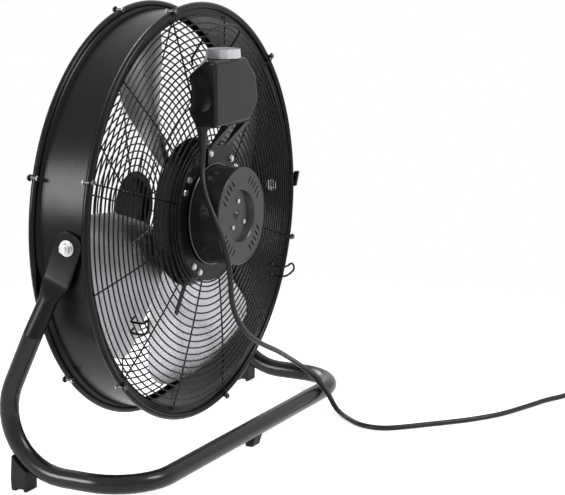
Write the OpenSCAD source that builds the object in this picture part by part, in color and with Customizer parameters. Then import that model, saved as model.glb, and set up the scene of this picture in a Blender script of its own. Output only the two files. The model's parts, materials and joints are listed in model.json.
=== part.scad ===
// Drum fan: a motor with paddle blades in a round sheet-metal drum,
// which tilts between the legs of a tube stand.
// Sizes are in millimetres. X runs across the fan, Y from the outlet to the motor, Z up.
// The origin is on the floor, under the middle of the stand's base.
// Angles round the drum are counted from +X towards +Z.

/* [Drum] */
// outside radius over the rolled rims
rim_r = 285; // [275:1:295]
// length of the drum along the air flow
drum_depth = 88; // [84:1:92]
// radius of the roll at each rim
bead_r = 4.5; // [4:0.5:5]
// thickness of the drum's sheet
sheet_t = 1; // [0.8:0.1:1.2]

/* [Stand] */
// height of the tilt axis over the floor
pivot_z = 315.3; // [309:0.1:326]
// place of the tilt axis along Y
pivot_y = -15; // [-19:0.5:-11]
// outside diameter of the stand's tube
tube_d = 25; // [22:0.5:27]
// wall of the stand's tube
tube_wall = 1.5; // [1.2:0.1:2]
// length of the stand's base along Y
base_depth = 217; // [205:1:240]
// height of the tube's axis over the floor
runner_z = 23; // [21:0.5:26]

/* [Guards] */
// radius of the outermost guard ring
guard_r = 266; // [262:1:267]
// radius of the guard wire
wire_r = 1.1; // [0.9:0.05:1.3]
// spacing of the outer guard rings
ring_pitch = 9; // [8.5:0.1:9.5]
// number of guard rings out of the hub area
ring_count = 18; // [16:1:19]
// number of spokes in each guard
spoke_count = 12; // [12:12:12]

/* [Fan] */
// tip radius of the blades
tip_r = 252; // [240:1:256]
// length of the blades along the axis
blade_depth = 54; // [40:1:60]
// number of blades
blade_count = 4; // [4:1:4]
// angle that one blade covers
blade_span = 52; // [44:1:58]
// angle of the first blade at rest
blade_turn = 70; // [0:1:90]

/* [Motor] */
// radius of the motor's rear cover
cover_r = 66.2; // [64:0.2:68]
// radius of the shaft
shaft_r = 6; // [5:0.5:7]

/* [Control box] */
// width of the box
box_w = 118; // [112:1:124]
// height of the box
box_h = 86; // [80:1:92]
// radius of the speed knob
knob_r = 23.9; // [20:0.1:26]
// height of the speed knob
knob_h = 14.5; // [12:0.5:17]

/* [Cord] */
// diameter of the mains cord
cord_d = 7.5; // [6.5:0.1:8]

/* [Hidden] */
$fn = 48;
gap = 0.05;
run = 0.3;

// the drum lies level, with its centre in front of the tilt axis and over it
pivot_back = 11.8;
pivot_drop = 3.7;
drum_y = pivot_y - pivot_back;
wall_r = rim_r - 12;
bead_y = drum_depth / 2 - 0.2 - bead_r;
lip_y = bead_y - 0.9;
lip_t = 1.2;
lip_r = rim_r - 18;
flare_r = 8;

// the stand's tube: two legs, two runners and a rear bar
tube_r = tube_d / 2;
bore_r = tube_r - tube_wall;
plate_t = 4;
plate_w = 39;
plate_square = 8;
eye_square = 3;
press_from = 0.64;
press_steps = 7;
eye_steps = 6;
plate_x = wall_r + 2.5;
lean_in = 20.5;
stand_x = plate_x + plate_t / 2 + lean_in;
front_bend_r = 80;
front_bend_y = -base_depth / 2 + tube_r + front_bend_r;
front_bend_z = runner_z + front_bend_r;
rear_bend_r = 74;
bar_y = base_depth / 2 - tube_r;
tube_sides = 24;
front_bend_steps = 12;
rear_bend_steps = 10;
leg_lean = 25.2;
plate_lean = 21.5;
plate_drop = 45;
leg_foot = [
    stand_x,
    front_bend_y - front_bend_r * cos(leg_lean),
    front_bend_z + front_bend_r * sin(leg_lean)
];
plate_foot = [
    plate_x + plate_t / 2,
    pivot_y - plate_drop * sin(plate_lean),
    pivot_z - plate_drop * cos(plate_lean)
];
leg_top_z = pivot_z - 110;
leg_top = [
    stand_x,
    leg_foot[1] + (leg_top_z - leg_foot[2]) * tan(leg_lean),
    leg_top_z
];

// feet and their screws
foot_w = 24;
foot_hug = 2;
foot_front_y = front_bend_y - 71.4;
foot_back_y = front_bend_y - 49;
foot_bulge = 1.2;
foot_screw_y = front_bend_y - 59;
foot_groove_w = 12;
foot_groove_h = 3;
rear_foot_w = 21;
rear_foot_low = 10;
rear_foot_high = 20;
rear_foot_h = runner_z - 6;
foot_screw_r = 2;
foot_screw_head_r = 4.2;
foot_screw_head_h = 1.6;
foot_screw_grip = 6;

// pivot bolts
bolt_r = 4;
bolt_head_r = 8.8;
bolt_head_h = 4.5;
bolt_clear = 0.06;
bolt_seat = sqrt(pow(wall_r - sheet_t, 2) - pow(bolt_head_r + pivot_drop, 2)) - run;
washer_t = 1.5;
nut_h = 6.4;
nut_r = 7.5;
bolt_tip = 2.4;

// guards: spokes bow outwards, rings lie on them
bow_r = 1730;
guard_y = lip_y + 2.6;
wide_pitch = 1;
wide_from = 11;
spoke_from = 16.3;
spoke_step = 360 / spoke_count;
rear_spoke_in = 88;
front_spoke_in = 46;
spoke_sides = 6;
bow_steps = 5;
bow_to = guard_r + 2;
climb_at = guard_r + 10;
climb_low = 0.5;
climb_aside = 3;
loop_r = 3.6;
loop_place = rim_r - 0.5;
loop_y = bead_y + bead_r + wire_r + 0.6;
loop_from = 60;
loop_turn = 240;
loop_steps = 8;
screw_step = 60;
guard_screw_r = 2;
guard_screw_head_r = 3.3;
guard_screw_head_h = 2.6;
guard_nut_r = 3.4;
guard_nut_h = 1.5;
guard_nut_y = bead_y - bead_r - guard_nut_h - gap;
inner_rings = [100, 94];
front_inner_rings = [97, 87, 77, 67, 57];
dish_r = 49;
dish_inner_r = 40;
dish_depth = 8;
dish_t = 1;

// bent wire on the rear guard: a carrying handle and two hooks for the cord
hook_wire_r = 1.5;
hook_seat = 3 * wire_r + hook_wire_r + 0.6;
hook_x = 199;
hook_z = -110;
hook_w = 14.5;
hook_out = 20;
hook_bend = 0.3;
hook_foot = [-9, 5];
hook_curl = [[4, 8, 5], [6, 11, -1], [5, 9, -7]];
handle_x = -10;
handle_w = 96;
handle_z = 216;
handle_foot = 12;
handle_bend = 2;
handle_out = 26;
handle_rise = 27;
handle_arch = 10;

// motor: housing in front, stator and core inside, a stamped cover behind
housing_r = 62;
housing_front = 28;
housing_t = 2.5;
flange_r = 90.5;
flange_t = 2;
flange_y = bow_y(flange_r) - wire_r - gap - flange_t;
ring_y = bow_y(rear_spoke_in) + wire_r + gap;
ring_t = 2;
ring_lip_r = 1.4;
ring_in_r = housing_r + 1.5;
cover_back = 107;
cover_t = 2;
cover_lip_r = 1.7;
recess_r = 39;
recess_floor_r = 33;
recess_h = 7;
dome_r = 9.4;
boss_r = 24;
slot_place = 52;
slot_len = 11;
slot_w = 2.6;
slot_step = 8.3;
bearing_r = 14;
bearing_w = 9;
front_bearing_y = housing_front + housing_t;
rear_bearing_y = cover_back - recess_h - cover_t - bearing_w;
bearing_seat = 2.5;
stator_r = housing_r - housing_t - gap;
stator_bore = 38.5;
stator_from = 46;
stator_to = 84;
shaft_from = -16;
core_from = 48;
core_to = 82;
core_r = 37.8;
mount_bolt_place = 84;
mount_bolt_r = 2.5;
mount_bolt_head_r = 4.5;
mount_bolt_head_h = 3;
mount_bolt_angles = [
    27.5, 40.5, 68, 83, 124, 138.5, 207.5, 220.5, 297.5, 310.5
];
bracket_bolts = [83, 124];
cover_screw_place = 20;
cover_screw_angles = [95, 211, 315];
cover_screw_r = 2;
cover_screw_head_r = 3;
cover_screw_head_h = 2.2;
cover_screw_grip = 7;
strap_angle = -56;
strap_from = 80;
strap_to = 150;
strap_w = 8;
strap_t = 1.6;
strap_y = bow_y(strap_to) - wire_r - gap - strap_t - 1.2;

// control box on a bracket over the motor
box_left = 57;
box_right = box_left - box_w;
box_bottom = 126;
box_top = box_bottom + box_h;
box_guard_y = 60.7;
box_back = 101;
box_joint_y = 91;
box_t = 2.5;
top_cut = 24;
top_cut_way = [0.45, -0.8, 1];
low_cut = 10;
low_cut_way = [1.2, -1.7, -1];
scoop_r = 24;
scoop_depth = 7;
scoop_ball_r = (scoop_r * scoop_r + scoop_depth * scoop_depth) / (2 * scoop_depth);
scoop_y = 73;
scoop_z = box_bottom + 42;
post_r = 4.5;
box_posts = [
    [box_left - 11, box_bottom + 16], [box_left - 11, box_bottom + 60],
    [box_right + 17, box_bottom + 60], [box_right + 19, box_bottom + 16]
];
box_screw_r = 1.6;
box_screw_head_r = 3;
box_screw_head_h = 2;
shelf_t = 1.6;
shelf_from = -46;
shelf_w = 74;
shelf_in = 86;
shelf_to = 98;
bracket_y = ring_y + 2 * ring_lip_r + gap;
bracket_from = -54;
bracket_w = 70;
bracket_low = 64;
bracket_high = 91.5;
arm_x = [2, -44];
arm_w = 14;
arm_low = 89;
capacitor_r = 13;
capacitor_l = 44;
capacitor_x = -30;
capacitor_z = box_bottom + 24;
knob_x = 0;
knob_y = 80;
knob_flats = 14;
knob_lift = 0.4;
knob_top_h = 1.5;
knob_bore_r = 3.06;
spindle_r = 3;
spindle_in = 8;
spindle_up = 10;
switch_w = 22;
switch_h = 14;
gland_x = 45;
gland_y = 73;
gland_r = 8;
gland_neck_r = 5.5;
gland_h = 6;
relief_h = 26;
relief_tip_r = cord_d / 2 + 0.9;

// fan: sheet blades riveted to a spider on the shaft
blade_mid_y = -2.5;
blade_t = 2;
camber = 6;
root_r = 62;
root_full_r = 110;
root_share = 0.5;
tip_round = 34;
hub_r = 24;
hub_from = -8;
hub_to = 20;
arm_t = 4;
arm_half = 5.5;
arm_lift = 0.5;
arm_to = 112;
arm_rows = [hub_r + gap, 40, 58, 76, 94, arm_to];
rivet_reach = 10;
rivet_places_r = [70, 88, 106];
rivet_r = 3;
rivet_head_r = 4.5;
rivet_head_h = 1.2;

// cord route, in the drum's own place down to the bar and on the floor after it
cord_r = cord_d / 2;
cord_sides = 10;
gland_low = box_bottom - gland_h - relief_h;
cord_hang = [
    [gland_x, gland_y, gland_low],
    [45.3, 73, gland_low - 8.5],
    [48.3, 73.9, 72.4],
    [56.2, 79, 55.1],
    [65.9, 89.9, 34.8],
    [71.9, 105.3, 7.9],
    [71.1, 115, -16],
    [67, 120.9, -42.4],
    [61.9, 122.7, -71.3],
    [53.6, 120.9, -106.1],
    [39.5, 121.5, -133.2],
    [16.1, 123.5, -157.8],
    [-20.1, 126, -179.5],
    [-73.5, 124.7, -203.1],
    [-148.8, 115.1, -237.8],
    [-182.6, 119.5, -259.8]
];
cord_floor = [
    [-195.5, bar_y + 5.2, 44.3],
    [-198.2, bar_y + 18.2, 28.3],
    [-188.1, bar_y + 39.2, 6.8],
    [-156.2, bar_y + 76.8, cord_r],
    [-140.6, bar_y + 105.7, cord_r],
    [-142.1, bar_y + 133.1, cord_r],
    [-159.8, bar_y + 156, cord_r],
    [-185.1, bar_y + 180, cord_r],
    [-210.8, bar_y + 204.1, cord_r],
    [-240, bar_y + 229, cord_r],
    [-284.3, bar_y + 256.9, cord_r],
    [-341.3, bar_y + 277.9, cord_r],
    [-382, bar_y + 291, cord_r],
    [-419, bar_y + 308, cord_r],
    [-455, bar_y + 316, cord_r],
    [-492, bar_y + 321, cord_r]
];
coil_r = 42;
coil_w = 2 * cord_d;
coil_h = 14.2;
coil_x = -484;
coil_y = bar_y + 366;
tail_l = 46;
plug_w = 26;
plug_h = 25;
plug_l = 34;
plug_relief = 20;
pin_t = 1.6;
pin_w = 6.35;
pin_l = 17;
pin_in = 6;
pin_step = 12.7;
pin_drop = -5;
earth_step = 11.9;
earth_r = 2.4;

function bow_y(r) =
    guard_y + sqrt(bow_r * bow_r - r * r) - sqrt(bow_r * bow_r - guard_r * guard_r);
function ring_r(i) = guard_r - ring_pitch * i - wide_pitch * max(0, i - wide_from);
function outer_rings() = [for (i = [0 : ring_count - 1]) ring_r(i)];

// the drum's own place: its axis along Y through the origin
module in_drum() translate([0, drum_y, pivot_z + pivot_drop]) children();

// children drawn along +Z stand along +Y at an angle and radius round the drum's axis
module around(angle, r, y) rotate([0, -angle, 0]) translate([r, y, 0]) rotate([-90, 0, 0]) children();

module disc(r, from, to) translate([0, from, 0]) rotate([-90, 0, 0]) cylinder(r = r, h = to - from);

module sleeve(r_out, r_in, from, to) difference() {
    disc(r_out, from, to);
    disc(r_in, from - 1, to + 1);
}

module wire_ring(ring_radius, r, y)
    translate([0, y, 0]) rotate([-90, 0, 0]) rotate_extrude() translate([ring_radius, 0]) circle(r = r);

// a bent wire with rounded bends through a list of points
module bent_wire(points, r) swept_tube(smooth(points, 4), r, 8);

module both_sides() {
    children();
    mirror([1, 0, 0]) children();
}

// a profile in the Y-Z plane, extruded along +X from x
module along_x(x, w) translate([x, 0, 0]) rotate([90, 0, 90]) linear_extrude(w) children();

// ---- stand ----
// stations along half of the tube, from the left leg's top to the bar: [place, way, outward]
function half_stations() = concat(
    [[leg_top, unit(leg_foot - leg_top), [1, 0, 0]]],
    [for (i = [0 : front_bend_steps])
        let (a = 180 - leg_lean + i * (90 + leg_lean) / front_bend_steps)
            [[stand_x, front_bend_y + front_bend_r * cos(a), front_bend_z + front_bend_r * sin(a)],
                [0, -sin(a), cos(a)], [1, 0, 0]]],
    [for (i = [0 : rear_bend_steps])
        let (a = i * 90 / rear_bend_steps)
            [[stand_x - rear_bend_r * (1 - cos(a)), bar_y - rear_bend_r * (1 - sin(a)), runner_z],
                [-sin(a), cos(a), 0], [cos(a), sin(a), 0]]]
);

// the other half mirrors the first and runs on from the bar
function tube_stations() = let (half = half_stations()) concat(half, [
    for (i = [len(half) - 1 : -1 : 0])
        let (s = half[i]) [
            [-s[0][0], s[0][1], s[0][2]], [s[1][0], -s[1][1], -s[1][2]], [-s[2][0], s[2][1], s[2][2]]
        ]
]);

// a hollow tube through a list of stations
module pipe(stations, r_out, r_in, sides) {
    m = len(stations);
    n = m * sides;
    function ring(r) = [
        for (s = stations) for (k = [0 : sides - 1])
            s[0] + r * (cos(k * 360 / sides) * s[2] + sin(k * 360 / sides) * cross(s[1], s[2]))
    ];
    faces = concat(
        [for (i = [0 : m - 2]) for (k = [0 : sides - 1])
            let (a = i * sides + k, b = i * sides + (k + 1) % sides) each [
                [a, a + sides, b + sides], [a, b + sides, b],
                [n + a, n + b + sides, n + a + sides], [n + a, n + b, n + b + sides]
            ]],
        [for (k = [0 : sides - 1])
            let (a = k, b = (k + 1) % sides, c = n - sides + k, d = n - sides + (k + 1) % sides) each [
                [a, b, n + b], [a, n + b, n + a], [d, c, n + c], [d, n + c, n + d]
            ]]
    );
    polyhedron(points = concat(ring(r_out), ring(r_in)), faces = faces);
}

module stand_tube() color("#26272a") difference() {
    pipe(tube_stations(), tube_r, bore_r, tube_sides);
    both_sides() translate([stand_x, foot_screw_y, 0])
        cylinder(r = foot_screw_r + gap, h = front_bend_z / 2);
    translate([0, bar_y, 0]) cylinder(r = foot_screw_r + gap, h = runner_z);
}

// a skin over a list of closed rings, each counted anticlockwise along the way they follow
module loft(rings) {
    m = len(rings);
    n = len(rings[0]);
    polyhedron(points = [for (ring = rings) each ring], faces = concat(
        [[for (k = [0 : n - 1]) k]],
        [[for (k = [n - 1 : -1 : 0]) (m - 1) * n + k]],
        [for (i = [0 : m - 2]) for (k = [0 : n - 1])
            let (a = i * n + k, b = i * n + (k + 1) % n) each [[a, a + n, b + n], [a, b + n, b]]]
    ));
}

function flatter(v, square) = sign(v) * pow(abs(v), 2 / square);
function leg_section(place, lean, half_w, half_t, square) = [
    for (k = [0 : tube_sides - 1])
        place + half_t * flatter(cos(k * 360 / tube_sides), square) * [1, 0, 0]
            + half_w * flatter(sin(k * 360 / tube_sides), square) * [0, cos(lean), -sin(lean)]
];

// the upper leg leans in, is pressed flat on the way and ends in a round eye at the pivot
function leg_end_rings() = concat(
    [for (i = [-1 : press_steps])
        let (q = max(0, i) / press_steps, e = q * q * (3 - 2 * q),
             s = i < 0 ? 0 : press_from + (1 - press_from) * q)
            leg_section(leg_top + s * (plate_foot - leg_top), leg_lean + s * (plate_lean - leg_lean),
                tube_r + e * (plate_w / 2 - tube_r), tube_r + e * (plate_t / 2 - tube_r),
                2 + e * (plate_square - 2))],
    [for (i = [0 : eye_steps])
        let (a = i * 88 / eye_steps)
            leg_section(
                [plate_x + plate_t / 2, pivot_y, pivot_z]
                    + plate_w / 2 * flatter(sin(a), eye_square) * [0, sin(plate_lean), cos(plate_lean)],
                plate_lean, plate_w / 2 * flatter(cos(a), eye_square), plate_t / 2, plate_square)]
);

module leg_end() color("#26272a") difference() {
    loft(leg_end_rings());
    translate([plate_x - 1, pivot_y, pivot_z])
        rotate([0, 90, 0]) cylinder(r = bolt_r + bolt_clear, h = plate_t + 2);
}

module leg_end_left() leg_end();
module leg_end_right() mirror([1, 0, 0]) leg_end();

module foot_screw_hole() {
    cylinder(r = foot_screw_r + gap, h = front_bend_z);
    translate([0, 0, -1]) cylinder(r = foot_screw_head_r + 0.3, h = foot_groove_h + foot_screw_head_h + 1.2);
}

module front_foot(side) color("#1b1b1d") translate([side * stand_x, 0, 0]) difference() {
    along_x(-foot_w / 2, foot_w) polygon([
        [foot_front_y, 0], [foot_back_y, 0], [foot_back_y + foot_bulge, front_bend_r * 0.6],
        [foot_front_y + 2 * foot_bulge, front_bend_r * 0.8], [foot_front_y - foot_bulge, 14]
    ]);
    translate([-foot_w, front_bend_y, front_bend_z])
        rotate([0, 90, 0]) cylinder(r = front_bend_r + tube_r - foot_hug, h = 2 * foot_w);
    translate([0, front_bend_y, front_bend_z])
        rotate([90, 0, 90]) rotate_extrude() translate([front_bend_r, 0]) circle(r = tube_r + gap);
    translate([0, foot_screw_y, foot_groove_h / 2 - 0.5])
        cube([2 * foot_w, foot_groove_w, foot_groove_h + 1], center = true);
    translate([0, foot_screw_y, 0]) foot_screw_hole();
}

module foot_front_left() front_foot(1);
module foot_front_right() front_foot(-1);

module foot_rear() color("#1b1b1d") difference() {
    along_x(-rear_foot_w / 2, rear_foot_w) polygon([
        [bar_y - rear_foot_low / 2, 0], [bar_y + rear_foot_low / 2, 0],
        [bar_y + rear_foot_high / 2, rear_foot_h], [bar_y - rear_foot_high / 2, rear_foot_h]
    ]);
    translate([-rear_foot_w, bar_y, runner_z])
        rotate([0, 90, 0]) cylinder(r = tube_r + gap, h = 2 * rear_foot_w);
    translate([0, bar_y, 0]) foot_screw_hole();
}

module foot_screw(tube_bottom) translate([0, 0, foot_groove_h + 0.1]) {
    cylinder(r = foot_screw_head_r, h = foot_screw_head_h);
    cylinder(r = foot_screw_r, h = tube_bottom - foot_groove_h + foot_screw_grip);
}

module foot_screws() color("#a9acb0") {
    both_sides() translate([stand_x, foot_screw_y, 0]) foot_screw(
        front_bend_z - sqrt(pow(front_bend_r + tube_r, 2) - pow(front_bend_y - foot_screw_y, 2))
    );
    translate([0, bar_y, 0]) foot_screw(runner_z - tube_r);
}

// ---- drum ----
module rim() {
    wire_ring(rim_r - bead_r, bead_r, bead_y);
    sleeve(rim_r - bead_r, lip_r, lip_y - lip_t, lip_y);
    rotate([-90, 0, 0]) rotate_extrude() polygon([
        for (a = [0 : 15 : 90]) [
            wall_r + flare_r - flare_r * cos(a), lip_y - lip_t / 2 - flare_r + flare_r * sin(a)
        ],
        for (a = [90 : -15 : 0]) [
            wall_r + flare_r - (flare_r + sheet_t) * cos(a),
            lip_y - lip_t / 2 - flare_r + (flare_r + sheet_t) * sin(a)
        ]
    ]);
}

module drum_shell() color("#303236") in_drum() difference() {
    union() {
        sleeve(wall_r, wall_r - sheet_t, flare_r + lip_t / 2 - lip_y, lip_y - lip_t / 2 - flare_r);
        rim();
        mirror([0, 1, 0]) rim();
    }
    both_sides() translate([wall_r - 5, pivot_back, -pivot_drop])
        rotate([0, 90, 0]) cylinder(r = bolt_r + bolt_clear, h = 10);
    for (a = [spoke_from : screw_step : 360]) around(a, loop_place, -drum_depth)
        cylinder(r = guard_screw_r + gap, h = 2 * drum_depth);
}

// ---- guards ----
module guard_rings(radii) for (r = radii) wire_ring(r, wire_r, bow_y(r) + 2 * wire_r + gap);

module bowed_spoke(angle, from, to) {
    a_from = asin(from / bow_r);
    a_to = asin(to / bow_r);
    rotate([0, -angle, 0])
        translate([0, bow_y(0) - bow_r, 0])
            rotate(180, [1, 1, 0])
                rotate([0, 0, a_from]) rotate_extrude(angle = a_to - a_from)
                    translate([bow_r, 0]) circle(r = wire_r);
}

// a held spoke leaves the bow at the rim, climbs on the roll and loops round its screw: [radius, y, aside]
function held_spoke(inner) = concat(
    [for (i = [0 : bow_steps]) let (r = inner + (bow_to - inner) * i / bow_steps) [r, bow_y(r), 0]],
    [[climb_at, loop_y - climb_low, climb_aside], [loop_place, loop_y, loop_r]],
    [for (i = [0 : loop_steps]) let (t = loop_from - loop_turn * i / loop_steps)
        [loop_place + loop_r * cos(t), loop_y, loop_r * sin(t)]]
);

module guard_spokes(inner) {
    held = held_spoke(inner);
    for (i = [0 : spoke_count - 1]) {
        a = spoke_from + i * spoke_step;
        if (i * spoke_step % screw_step > 0) bowed_spoke(a, inner, lip_r + 5);
        else swept_tube([for (p = held) [p[0] * cos(a) - p[2] * sin(a), p[1], p[0] * sin(a) + p[2] * cos(a)]],
            wire_r, spoke_sides, [0, 1, 0]);
    }
}

module guard_screws() for (a = [spoke_from : screw_step : 360]) {
    around(a, loop_place, loop_y + wire_r + gap) intersection() {
        translate([0, 0, guard_screw_head_h - guard_screw_head_r * 1.6])
            sphere(r = guard_screw_head_r * 1.6);
        cylinder(r = guard_screw_head_r, h = guard_screw_head_h);
    }
    around(a, loop_place, guard_nut_y - 0.6)
        cylinder(r = guard_screw_r, h = loop_y + wire_r + 1 - guard_nut_y);
}

module half_nuts() for (a = [spoke_from : screw_step : 360])
    around(a, loop_place, guard_nut_y) difference() {
        cylinder(r = guard_nut_r, h = guard_nut_h, $fn = 6);
        translate([0, 0, -1]) cylinder(r = guard_screw_r + gap, h = guard_nut_h + 2);
    }

module rear_guard_rings() color("#2b2c30") in_drum() guard_rings(concat(outer_rings(), inner_rings));
module rear_guard_spokes() color("#2b2c30") in_drum() guard_spokes(rear_spoke_in);
module front_guard_rings() color("#2b2c30") in_drum() mirror([0, 1, 0])
    guard_rings(concat(outer_rings(), front_inner_rings));
module front_guard_spokes() color("#2b2c30") in_drum() mirror([0, 1, 0]) guard_spokes(front_spoke_in);
module rear_guard_screws() color("#6d7074") in_drum() guard_screws();
module front_guard_screws() color("#6d7074") in_drum() mirror([0, 1, 0]) guard_screws();
module guard_nuts() color("#8d9094") in_drum() {
    half_nuts();
    mirror([0, 1, 0]) half_nuts();
}

module front_centre_dish() color("#1f2023") in_drum() mirror([0, 1, 0]) {
    dish_y = bow_y(front_spoke_in) + wire_r + gap;
    sleeve(dish_r, dish_inner_r - dish_t, dish_y, dish_y + dish_t);
    translate([0, dish_y, 0]) rotate([-90, 0, 0]) rotate_extrude() polygon([
        [dish_inner_r - dish_t, 0], [dish_inner_r, 0], [dish_inner_r - dish_t, dish_depth - dish_t],
        [dish_inner_r - 3 * dish_t, dish_depth], [0, dish_depth], [0, dish_depth - dish_t],
        [dish_inner_r - 3 * dish_t, dish_depth - dish_t]
    ]);
}

// ---- wire handle and cord hooks on the rear guard ----
module carry_handle() color("#2b2c30") in_drum() {
    half = handle_w / 2;
    top = [half, bow_y(handle_z) + handle_out, handle_z + handle_rise];
    side = [
        for (z = [handle_z - handle_foot, handle_z - handle_bend]) [half, bow_y(z) + hook_seat, z],
        [half, bow_y(handle_z) + hook_seat + handle_bend, handle_z],
        top,
        [half / 2, top[1] + 2, top[2] + handle_arch]
    ];
    bent_wire([
        for (p = side) [handle_x + p[0], p[1], p[2]],
        for (i = [len(side) - 1 : -1 : 0]) [handle_x - side[i][0], side[i][1], side[i][2]]
    ], hook_wire_r);
}

function on_guard(x, z) = [x, bow_y(norm([x, z])) + hook_seat, z];

module cord_hook() color("#2b2c30") in_drum() {
    high = on_guard(hook_x, hook_z);
    low = on_guard(hook_x, hook_z - hook_w);
    out = [0, hook_out, 0];
    bent_wire([
        for (share = [1, hook_bend]) on_guard(hook_x + share * hook_foot[0], hook_z + share * hook_foot[1]),
        high + hook_bend / 2 * out,
        high + out,
        for (step = hook_curl) high + out + step,
        low + out,
        low + hook_bend / 2 * out,
        for (share = [hook_bend, 1])
            on_guard(hook_x + share * hook_foot[0], hook_z - hook_w + share * hook_foot[1])
    ], hook_wire_r);
}

module cord_hook_left() cord_hook();
module cord_hook_right() mirror([1, 0, 0]) cord_hook();

// ---- motor ----
module motor_housing() color("#1c1d1f") in_drum() difference() {
    union() {
        disc(housing_r, housing_front, flange_y + flange_t);
        sleeve(flange_r, housing_r - 1, flange_y, flange_y + flange_t);
    }
    difference() {
        disc(housing_r - housing_t, front_bearing_y, flange_y + flange_t + 1);
        sleeve(bearing_r + bearing_seat, bearing_r + gap, front_bearing_y - 1, front_bearing_y + bearing_w);
    }
    disc(shaft_r + 2, housing_front - 1, front_bearing_y + 1);
    mount_holes();
}

module mount_holes() for (a = mount_bolt_angles)
    around(a, mount_bolt_place, 0) cylinder(r = mount_bolt_r + gap, h = cover_back);

module front_bearing() color("#b9bcc0") in_drum()
    sleeve(bearing_r, shaft_r + gap, front_bearing_y + gap, front_bearing_y + bearing_w);

module rear_bearing() color("#b9bcc0") in_drum()
    sleeve(bearing_r, shaft_r + gap, rear_bearing_y, rear_bearing_y + bearing_w - gap);

module motor_strap() color("#5d6064") in_drum() rotate([0, -strap_angle, 0]) {
    translate([strap_from, strap_y, -strap_w / 2]) cube([strap_to - strap_from, strap_t, strap_w]);
    translate([strap_from, strap_y, -strap_w / 2]) cube([strap_t * 4, flange_y - gap - strap_y, strap_w]);
}

module motor_mount_ring() color("#55585c") in_drum() difference() {
    union() {
        sleeve(flange_r, ring_in_r, ring_y, ring_y + ring_t);
        wire_ring(flange_r, ring_lip_r, ring_y + ring_lip_r);
    }
    mount_holes();
}

function under_head(a) = len(search(a, bracket_bolts)) > 0 ? 2 * ring_lip_r - ring_t + gap + shelf_t : 0;

module motor_mount_bolts() color("#d6d8da") in_drum() for (a = mount_bolt_angles) {
    around(a, mount_bolt_place, ring_y + ring_t + gap + under_head(a)) {
        cylinder(r = mount_bolt_head_r, h = mount_bolt_head_h * 0.4);
        cylinder(r = mount_bolt_head_r * 0.9, h = mount_bolt_head_h, $fn = 6);
    }
    around(a, mount_bolt_place, flange_y - 4) {
        cylinder(r = mount_bolt_r, h = ring_y + ring_t + under_head(a) + 5 - flange_y);
        translate([0, 0, 1 - gap]) difference() {
            cylinder(r = mount_bolt_head_r, h = 3, $fn = 6);
            translate([0, 0, -1]) cylinder(r = mount_bolt_r - 0.2, h = 5);
        }
    }
}

module cover_slots() for (group = [45 : 90 : 359]) for (i = [-2 : 2]) {
    t = i * slot_step;
    rotate([0, -group, 0])
        translate([sqrt(slot_place * slot_place - t * t), cover_back - cover_t / 2, t])
            cube([slot_len, cover_t + 2, slot_w], center = true);
}

module motor_rear_cover() color("#4b4d51") in_drum() difference() {
    union() {
        sleeve(cover_r, cover_r - cover_t, ring_y + ring_t + gap, cover_back - 1);
        sleeve(cover_r - cover_lip_r, recess_r - 1, cover_back - cover_t, cover_back);
        wire_ring(cover_r - cover_lip_r, cover_lip_r, cover_back - cover_lip_r + 0.4);
        translate([0, cover_back, 0]) rotate([-90, 0, 0]) rotate_extrude() polygon([
            [recess_r, 0], [recess_r - 2, 0], [recess_r - 3.5, -1.5], [recess_floor_r, -recess_h],
            [0, -recess_h], [0, -recess_h - cover_t], [recess_floor_r + 0.6, -recess_h - cover_t],
            [recess_r - 1.6, -cover_t]
        ]);
        translate([0, cover_back - recess_h - dome_r * 0.6, 0]) sphere(r = dome_r);
        disc(boss_r, rear_bearing_y, cover_back - recess_h - cover_t / 2);
    }
    disc(bearing_r + gap, rear_bearing_y - dome_r, rear_bearing_y + bearing_w);
    disc(shaft_r + 1, rear_bearing_y, cover_back - recess_h - cover_t + 0.8);
    cover_slots();
    for (a = cover_screw_angles) around(a, cover_screw_place, rear_bearing_y - 1)
        cylinder(r = cover_screw_r + gap, h = cover_back - rear_bearing_y);
}

module motor_cover_screws() color("#d6d8da") in_drum() for (a = cover_screw_angles)
    around(a, cover_screw_place, cover_back - recess_h + gap) {
        cylinder(r = cover_screw_head_r, h = cover_screw_head_h);
        translate([0, 0, -cover_screw_grip]) cylinder(r = cover_screw_r, h = cover_screw_grip + 1);
    }

module motor_stator() color("#77604a") in_drum()
    sleeve(stator_r, stator_bore, stator_from, stator_to);

// ---- control box ----
module box_outline() polygon([
    [box_left, box_bottom], [box_left, box_top], [box_right + 33, box_top], [box_right + 6, box_top - 27],
    [box_right, box_top - 58], [box_right + 5, box_bottom + 18], [box_right + 24, box_bottom]
]);

// what lies beyond a plane through a point, towards the given way
module beyond(point, way) translate(point)
    rotate([0, acos(way[2] / norm(way)), atan2(way[1], way[0])])
        translate([-box_w, -box_w, 0]) cube([2 * box_w, 2 * box_w, box_w]);

module box_solid(inset, back) difference() {
    translate([0, back, 0]) rotate([90, 0, 0])
        linear_extrude(back - box_guard_y - inset) offset(delta = -inset) box_outline();
    beyond([box_left, box_guard_y + top_cut, box_top] - inset * unit(top_cut_way), top_cut_way);
    beyond([box_left, box_guard_y + low_cut, box_bottom] - inset * unit(low_cut_way), low_cut_way);
}

module box_half(from, to) intersection() {
    children();
    translate([box_right - 1, from, box_bottom - 1]) cube([box_w + 2, to - from, box_h + 2]);
}

module scoop_ball(extra) translate([box_left + scoop_ball_r - scoop_depth, scoop_y, scoop_z])
    sphere(r = scoop_ball_r + extra);

module box_post(post, from, to, r)
    translate([post[0], from, post[1]]) rotate([-90, 0, 0]) cylinder(r = r, h = to - from);

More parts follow.
